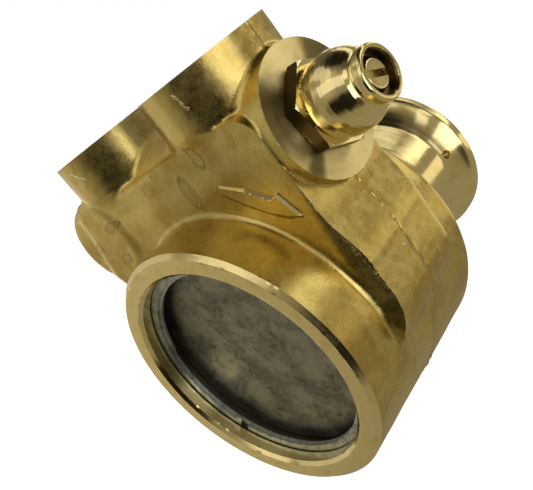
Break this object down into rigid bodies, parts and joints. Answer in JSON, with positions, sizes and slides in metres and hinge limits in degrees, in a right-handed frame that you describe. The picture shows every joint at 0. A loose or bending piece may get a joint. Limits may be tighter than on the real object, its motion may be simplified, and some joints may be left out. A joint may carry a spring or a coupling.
{
  "type": "rotary vane pump",
  "caption": "Brass rotary vane pump: clamp flange and shaft drive at one end, two top ports, adjustable relief valve at the side, round end cover in a rim.",
  "frame": {"origin": "centre of the clamp flange's drive face, on the shaft axis", "axes": "+Y along the shaft out of the drive end, +Z towards the ports, +X along the relief valve"},
  "size_m": [0.0943, 0.0839, 0.0878],
  "materials": {
    "forged_brass": "forged and blasted, machined at rim and neck",
    "polished_brass": "turned bright",
    "cover_steel": "matt mottled",
    "ring_steel": "dark spring steel",
    "bright_steel": "ground",
    "carbon": "lapped carbon graphite",
    "ceramic": "lapped ceramic",
    "rubber": "moulded"
  },
  "bodies": {
    "pump": {"pump_body": "forged_brass", "end_cover": "cover_steel", "cover_o_ring": "rubber", "cover_retaining_ring": "ring_steel", "front_bearing_plate": "carbon", "rear_bearing_plate": "carbon", "liner_ring": "cover_steel", "liner_dowel": "bright_steel", "seal_seat": "ceramic", "seal_seat_cup": "rubber", "bearing_outer_ring": "bright_steel", "bearing_shield_front": "ring_steel", "bearing_shield_rear": "ring_steel", "bearing_retaining_ring": "ring_steel", "relief_seat": "bright_steel", "relief_spring": "bright_steel", "relief_cap": "polished_brass", "cap_o_ring": "rubber"},
    "rotating_group": {"shaft": "bright_steel", "rotor": "bright_steel", "rotor_key": "bright_steel", "vane_1": "carbon", "vane_2": "carbon", "vane_3": "carbon", "vane_4": "carbon", "shaft_snap_ring": "ring_steel", "seal_face_ring": "carbon", "seal_spring": "bright_steel", "seal_collar": "bright_steel", "slinger": "rubber", "bearing_inner_ring": "bright_steel"},
    "ball_cage": {"bearing_cage": "polished_brass", "bearing_ball_1": "bright_steel", "bearing_ball_2": "bright_steel", "bearing_ball_3": "bright_steel", "bearing_ball_4": "bright_steel", "bearing_ball_5": "bright_steel", "bearing_ball_6": "bright_steel", "bearing_ball_7": "bright_steel"},
    "poppet": {"relief_poppet": "polished_brass"},
    "spring_end": {"spring_seat": "polished_brass"},
    "screw": {"adjusting_screw": "polished_brass", "screw_o_ring": "rubber"}
  },
  "joints": [
    {"name": "shaft_turn", "type": "hinge", "parent": "pump", "child": "rotating_group", "pos_m": [0, 0, 0], "axis": [0, 1, 0], "continuous": true},
    {"name": "cage_turn", "type": "hinge", "parent": "pump", "child": "ball_cage", "pos_m": [0, -0.0184, 0], "axis": [0, 1, 0], "continuous": true},
    {"name": "poppet_lift", "type": "slide", "parent": "pump", "child": "poppet", "axis": [1, 0, 0], "range_m": [0, 0.003], "stiffness_N_per_m": 1500, "deforming": ["relief_spring"]},
    {"name": "screw_travel", "type": "slide", "parent": "pump", "child": "spring_end", "axis": [1, 0, 0], "range_m": [-0.0024, 0.0008], "deforming": ["relief_spring"]},
    {"name": "screw_turn", "type": "hinge", "parent": "spring_end", "child": "screw", "pos_m": [0.045, -0.0566, 0.0359], "axis": [1, 0, 0], "range_deg": [-1085, 365]}
  ],
  "couplings": [
    {"joint": "cage_turn", "follows": "shaft_turn", "ratio": 0.39},
    {"joint": "screw_turn", "follows": "screw_travel", "rad_per_m": 7854}
  ]
}
